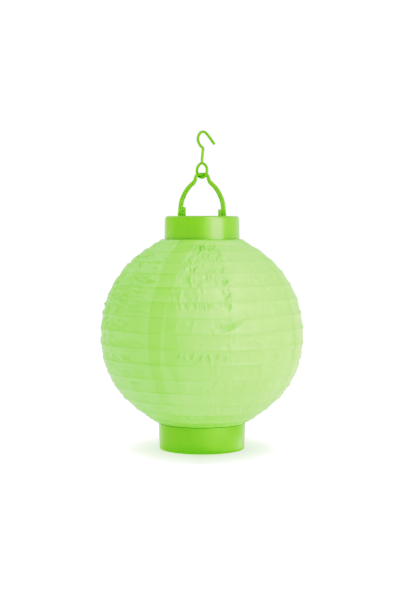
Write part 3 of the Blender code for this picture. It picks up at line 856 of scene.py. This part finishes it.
# ---------------------------------------------------------------------- hook
eye_h = BAR_H - BAR_R - EYE_GAP - WIRE_R + EYE_R
flat = []
for k in range(31):
    a = math.radians(20 + k * (346 - 20) / 30)
    flat.append((EYE_R * math.sin(a), eye_h + EYE_R * math.cos(a)))
flat += [(-0.47, eye_h + 7.48), (0.0, eye_h + 8.83)]
flat += [(0.6, 289.0), (1.45, 294.8), (1.25, 295.9), (0.3, 296.8), (-1.5, 297.7), (-2.9, 299.1)]
for k in range(24):
    a = math.radians(222 - k * (222 - 50) / 23)
    flat.append((1.2 + 6.83 * math.cos(a), 305.1 + 6.83 * math.sin(a)))
flat += [(7.7, 308.6), (9.9, 306.5), (13.2, 303.1), (16.7, 299.5)]
flat = smooth_line(flat, 3)
c, s = math.cos(HOOK_TURN), math.sin(HOOK_TURN)
hook = sweep("hook_wire", [(u * c, -u * s, h) for u, h in flat], circle(WIRE_R + 0.15, 16), dome=0.7)
wear(hook, GREEN_WIRE, "hook", "green_wire", "hanging_hook")

# ---------------------------------------------------------- panel and inside
SOLAR = moulded("silicon", (0.010, 0.016, 0.055), (0.020, 0.035, 0.110), (0.2, 0.3), 0.05, 0.5)
RESIN = moulded("clear_resin", (0.80, 0.84, 0.88), (0.85, 0.88, 0.92), (0.05, 0.12), 0.05, 0.5)
RESIN.node_tree.nodes["Principled BSDF"].inputs["Transmission Weight"].default_value = 1.0
FOAM = moulded("foam", (0.02, 0.02, 0.02), (0.04, 0.04, 0.04), (0.85, 0.95), 0.6, 0.2)
BOARD = moulded("panel_board", (0.03, 0.035, 0.05), (0.05, 0.055, 0.07), (0.45, 0.6), 0.2)
SLEEVE = moulded("battery_sleeve", (0.015, 0.15, 0.30), (0.03, 0.20, 0.38), (0.25, 0.4), 0.1)
PCB = moulded("circuit_board", (0.02, 0.12, 0.04), (0.04, 0.18, 0.07), (0.35, 0.5), 0.2)
COIL = moulded("inductor", (0.08, 0.26, 0.10), (0.12, 0.32, 0.14), (0.3, 0.4), 0.2)
LENS = moulded("led_lens", (0.88, 0.86, 0.74), (0.93, 0.91, 0.80), (0.06, 0.12), 0.05, 0.5)
LENS.node_tree.nodes["Principled BSDF"].inputs["Transmission Weight"].default_value = 0.7
CONTACT = moulded("contact", (0.68, 0.62, 0.46), (0.78, 0.72, 0.56), (0.25, 0.38), 0.1, 0.5, 0.0, 1.0)
SCREW = moulded("screw_steel", (0.52, 0.53, 0.52), (0.64, 0.65, 0.64), (0.25, 0.38), 0.15, 0.5, 0.0, 1.0)
RED = moulded("red_lead", (0.48, 0.012, 0.012), (0.58, 0.02, 0.02), (0.4, 0.5), 0.2)
DARK = moulded("black_lead", (0.012, 0.012, 0.012), (0.025, 0.025, 0.025), (0.4, 0.5), 0.2)

SILVER = moulded("silver_paste", (0.60, 0.61, 0.62), (0.72, 0.72, 0.72), (0.35, 0.5), 0.1, 0.5, 0.0, 0.8)
for k in range(4):
    y = (k - 1.5) * 10.0
    spans = [(-13.1, 13.1, y - 0.45, y + 0.45, 227.96, 228.08)]
    spans += [(x - 0.06, x + 0.06, y - 4.4, y + 4.4, 227.96, 227.99) for x in np.arange(-12.8, 12.81, 1.6)]
    if k < 3:
        x = 12.4 if k % 2 else -12.4
        spans.append((x - 0.6, x + 0.6, y + 0.3, y + 9.7, 227.97, 228.10))
    wear(boxes("cell_print_%d" % (k + 1), spans), SILVER, "solar_cap", "contact")
for name, (x, y) in zip(("tray_screw_1", "tray_screw_2", "tray_screw_3"), SCREW_SPOTS):
    head = [(1.95, 204.6), (2.3, 204.72), (2.5, 205.1), (2.5, 206.3), (1.1, 206.3), (1.1, 215.5), (0.4, 216.6)]
    wear(cross_screw("screw_" + name[-1], x, y, head, 1.45, 0.3, 0.9), SCREW, "solar_cap", "screw_steel", name)
head = [(1.65, 203.0), (1.95, 203.1), (2.1, 203.4), (2.1, 204.4), (1.05, 204.4), (1.05, 210.4), (0.4, 211.2)]
wear(cross_screw("door_screw", *DOOR_SCREW, head, 1.2, 0.26, 0.8), SCREW, "solar_cap", "screw_steel", "battery_door_screw")
bulb = [(0, 203.15), (0.75, 203.2), (1.6, 203.7), (2.2, 204.6), (2.45, 205.7), (2.45, 210.2), (2.8, 210.3), (2.8, 211.3), (0, 211.3)]
wear(lathe("led_body", rounded(bulb, [0, 1.5, 1.5, 1.5, 2.0, 0.1, 0.1, 0.1, 0], 5, closed=False), 48, closed=False, cy=LED_Y), LENS, "solar_cap", "led_lens", "led")
knob = boxes("switch_slider", [(SWITCH_X - 1.1, SWITCH_X + 1.1, SWITCH_Y - 1.1, SWITCH_Y + 1.1, 204.1, 208.8)], 0.12)
wear(knob, BLACK_PLASTIC, "switch", "black_plastic", "switch_knob")
grip = boxes("switch_grip", [(SWITCH_X + d - 0.2, SWITCH_X + d + 0.2, SWITCH_Y - 1.0, SWITCH_Y + 1.0, 203.8, 204.2) for d in (-0.75, 0.0, 0.75)], 0.08)
wear(grip, BLACK_PLASTIC, "switch", "black_plastic")
ribs = boxes("door_grip", [(-16.0 + 2.0 * k, -15.2 + 2.0 * k, 9.5, 18.5, 204.35, 204.75) for k in range(5)], 0.1)
wear(ribs, WHITE_PLASTIC, "solar_cap", "white_plastic")

LOOK = {
    "panel_seal": FOAM,
    "panel_board": BOARD,
    "panel_resin": RESIN,
    "inner_tray": WHITE_PLASTIC,
    "battery": SLEEVE,
    "battery_spring": STEEL_WIRE,
    "battery_minus_plate": CONTACT,
    "battery_plus_plate": CONTACT,
    "battery_door": WHITE_PLASTIC,
    "circuit_board": PCB,
    "driver_chip": BLACK_PLASTIC,
    "inductor": COIL,
    "switch_body": BLACK_PLASTIC,
    "panel_lead_red": RED,
    "battery_lead_red": RED,
    "panel_lead_black": DARK,
    "battery_lead_black": DARK,
    "top_collar": WHITE_PLASTIC,
}
for k in range(4):
    LOOK["solar_cell_%d" % (k + 1)] = SOLAR
for name, mat in LOOK.items():
    ob = NODES[name]
    ob.data.materials.clear()
    ob.data.materials.append(mat)
    ob.data.shade_smooth()
    ob.data.set_sharp_from_angle(angle=math.radians(35))
    if name not in ("battery_spring",) and not name.endswith(("_red", "_black")):
        soft = ob.modifiers.new("edge", "BEVEL")
        soft.width = 0.00012
        soft.segments = 2
        soft.limit_method = "ANGLE"
        soft.angle_limit = math.radians(40)

# ------------------------------------------------------ stage, light, camera
floor_z = -HANG_H * 0.001 - 0.00005
mesh = bpy.data.meshes.new("floor")
mesh.from_pydata([(-12, -12, floor_z), (12, -12, floor_z), (12, 12, floor_z), (-12, 12, floor_z)], [], [(0, 1, 2, 3)])
floor = bpy.data.objects.new("floor", mesh)
bpy.context.scene.collection.objects.link(floor)
mat, tree, shader = material("floor")
shader.inputs["Base Color"].default_value = (0.0, 0.0, 0.0, 1)
shader.inputs["Roughness"].default_value = 0.9
shader.inputs["Specular IOR Level"].default_value = 0.0


def calc(kind, a, b):
    n = node(tree, "ShaderNodeMath", operation=kind)
    for k, value in enumerate((a, b)):
        if isinstance(value, (int, float)):
            n.inputs[k].default_value = value
        else:
            tree.links.new(value, n.inputs[k])
    return n.outputs["Value"]


# the white floor shines; it is shaded near the foot, a little less to the sides
spot = node(tree, "ShaderNodeSeparateXYZ")
tree.links.new(coords(tree), spot.inputs[0])
sideways = calc("ABSOLUTE", spot.outputs["X"], 0.0)
away = calc("SQRT", calc("ADD", calc("MULTIPLY", sideways, sideways), calc("MULTIPLY", spot.outputs["Y"], spot.outputs["Y"])), 0.0)
near = node(tree, "ShaderNodeAmbientOcclusion", samples=12)
near.inputs["Distance"].default_value = 0.06
open_share = calc("MULTIPLY", near.outputs["AO"], calc("ADD", 1.0, calc("MULTIPLY", 0.45, calc("DIVIDE", sideways, away))))
SHADOW = [
    (0.300, (0.370, 0.552, 0.303)),
    (0.424, (0.440, 0.672, 0.366)),
    (0.530, (0.616, 0.723, 0.424)),
    (0.632, (0.688, 0.750, 0.599)),
    (0.736, (0.723, 0.763, 0.695)),
    (0.860, (0.769, 0.781, 0.750)),
    (0.950, (0.788, 0.794, 0.777)),
    (1.000, (0.940, 0.940, 0.940)),
]
tree.links.new(ramp(tree, open_share, SHADOW), shader.inputs["Emission Color"])
shader.inputs["Emission Strength"].default_value = 1.88
# from below the floor is clear, so the underside can be looked at
side = node(tree, "ShaderNodeNewGeometry")
clear = node(tree, "ShaderNodeBsdfTransparent")
mix = node(tree, "ShaderNodeMixShader")
tree.links.new(side.outputs["Backfacing"], mix.inputs["Fac"])
tree.links.new(shader.outputs["BSDF"], mix.inputs[1])
tree.links.new(clear.outputs["BSDF"], mix.inputs[2])
tree.links.new(mix.outputs["Shader"], tree.nodes["Material Output"].inputs["Surface"])
mesh.materials.append(mat)

scene = bpy.context.scene
view = scene.view_settings
view.view_transform = "Standard"
view.look = "None"
view.use_curve_mapping = True
tone = view.curve_mapping
TOP = 1.5
tone.white_level = (TOP, TOP, TOP)
curve = tone.curves[3]
TONES = (
    (0.05, 0.010),
    (0.10, 0.032),
    (0.20, 0.115),
    (0.30, 0.248),
    (0.38, 0.337),
    (0.50, 0.455),
    (0.62, 0.560),
    (0.70, 0.635),
    (0.77, 0.692),
    (0.86, 0.735),
    (1.00, 0.768),
    (1.20, 0.812),
    (1.35, 0.890),
)
for at, value in TONES:
    curve.points.new(at / TOP, value)
tone.update()

world = bpy.data.worlds.new("studio")
scene.world = world
world.use_nodes = True
tree = world.node_tree
back = tree.nodes["Background"]
back.inputs["Color"].default_value = (1, 1, 1, 1)


def math_node(kind, a, b=None):
    n = tree.nodes.new("ShaderNodeMath")
    n.operation = kind
    for k, value in enumerate((a, b)):
        if value is None:
            continue
        if isinstance(value, (int, float)):
            n.inputs[k].default_value = value
        else:
            tree.links.new(value, n.inputs[k])
    return n.outputs["Value"]


def graded(value, a, b, low, high):
    n = tree.nodes.new("ShaderNodeMapRange")
    n.interpolation_type = "SMOOTHSTEP"
    for key, v in (("From Min", a), ("From Max", b), ("To Min", low), ("To Max", high)):
        n.inputs[key].default_value = v
    tree.links.new(value, n.inputs["Value"])
    return n.outputs["Result"]


# an evenly lit white room with a dark opening at the front left
place = tree.nodes.new("ShaderNodeTexCoord")
toward = tree.nodes.new("ShaderNodeVectorMath")
toward.operation = "DOT_PRODUCT"
a = math.radians(-65)
toward.inputs[1].default_value = (math.sin(a), -math.cos(a), 0.0)
tree.links.new(place.outputs["Generated"], toward.inputs[0])
split = tree.nodes.new("ShaderNodeSeparateXYZ")
tree.links.new(place.outputs["Generated"], split.inputs[0])
level = math_node("ABSOLUTE", split.outputs["Z"])
opening = math_node("MULTIPLY", graded(toward.outputs["Value"], -0.10, 0.80, 0.0, 1.0), graded(level, 0.30, 0.62, 1.0, 0.0))
room = graded(opening, 0.0, 1.0, 1.20, 0.07)
path = tree.nodes.new("ShaderNodeLightPath")
back_strength = math_node("MAXIMUM", room, graded(path.outputs["Is Camera Ray"], 0.0, 1.0, 0.0, 1.6))
tree.links.new(back_strength, back.inputs["Strength"])


def softbox(name, azimuth, distance, height, size_x, size_y, radiance, colour=(1, 1, 1)):
    """A soft light; azimuth 0 is at the camera, growing to the right. height is over the cap's middle."""
    data = bpy.data.lights.new(name, "AREA")
    data.shape = "RECTANGLE"
    data.size, data.size_y = size_x, size_y
    data.energy = radiance * math.pi * size_x * size_y
    data.color = colour
    ob = bpy.data.objects.new(name, data)
    scene.collection.objects.link(ob)
    a = math.radians(azimuth)
    target = Vector((0, 0, (217 - HANG_H) * 0.001))
    ob.location = target + Vector((math.sin(a) * distance, -math.cos(a) * distance, height))
    ob.rotation_euler = (target - ob.location).to_track_quat("-Z", "Y").to_euler()
    ob.visible_camera = False
    return ob


def lights_only(light, name, objects):
    """Let a light reach only these objects."""
    group = bpy.data.collections.new(name)
    for ob in objects:
        group.objects.link(ob)
    light.light_linking.receiver_collection = group


hard = [ob for ob in scene.objects if ob.type == "MESH" and ob not in (cloth, floor)]
# light that only shows as gloss: a tall strip that draws the highlight on the cap, and a white wall on the right
for name, azimuth, size, radiance in (("strip", 47, 1.10, 8.0), ("flank", 18, 0.50, 2.6)):
    strip = softbox(name, azimuth, 1.5, 0.0, size, 1.2, radiance)
    strip.visible_diffuse = False
    lights_only(strip, "lit_by_" + name, hard)
crown = softbox("crown", 42, 1.1, 1.1, 0.9, 0.7, 12.0)
crown.visible_diffuse = False
lights_only(crown, "lit_by_crown", [cap])
left_wall = softbox("left_wall", -112, 1.5, 0.0, 0.75, 1.9, 0.7)
left_wall.visible_diffuse = False
lights_only(left_wall, "lit_by_left_wall", [cap])
gleam = softbox("gleam", 0, 0.0, 0.0, 0.24, 0.18, 2.0)
gleam.location = (0.105, -0.125, floor_z + 0.002)
gleam.rotation_euler = (math.pi, 0.0, math.radians(-40))
gleam.visible_diffuse = False
lights_only(gleam, "lit_by_gleam", [base])
under = softbox("under", 0, 0.0, 0.0, 0.09, 0.09, 1.2)
under.location = (0.0, -0.085, floor_z + 0.003)
under.rotation_euler = (math.pi, 0.0, 0.0)
under.visible_diffuse = False
lights_only(under, "lit_from_under", [cloth])
for azimuth, radiance in ((98, 0.45), (126, 0.3)):
    softbox("wall_%d" % azimuth, azimuth, 1.5, 0.0, 0.75, 1.9, radiance).visible_diffuse = False
# and the other way round: the cloth is lit from the right, and the dark opening doesn't darken the left side
key = softbox("key", 50, 1.5, 0.12, 1.2, 1.0, 5.8)
key.visible_glossy = False
lights_only(key, "lit_by_key", [cloth])
above = softbox("above", -80, 1.0, 1.2, 0.8, 0.6, 7.0)
above.visible_glossy = False
lights_only(above, "lit_from_above", [cloth])
glare = softbox("glare", 34, 1.5, 0.1, 2.0, 3.2, 3.0)
glare.visible_diffuse = False
lights_only(glare, "lit_by_glare", [cloth])
sky = softbox("sky", 45, 0.6, 1.5, 2.2, 2.2, 1.9)
sky.visible_diffuse = False
lights_only(sky, "lit_by_sky", [cloth])
softbox("fill", -65, 1.4, 0.0, 1.9, 1.3, 0.92).visible_glossy = False
front = softbox("front", 0, 1.7, 0.0, 1.6, 1.2, 0.9)
front.visible_glossy = False
lights_only(front, "lit_from_front", hard)

camera_data = bpy.data.cameras.new("camera")
camera_data.sensor_width = 36.0
camera_data.lens = 1434.0 * 36.0 / 601.0
camera_data.dof.use_dof = False
camera_data.clip_end = 100
camera = bpy.data.objects.new("camera", camera_data)
scene.collection.objects.link(camera)
camera.location = (0.0, -1.4121, (225.2 - HANG_H) * 0.001)
camera.rotation_euler = (math.radians(90.0 - 3.194), 0.0, math.radians(0.060))
scene.camera = camera
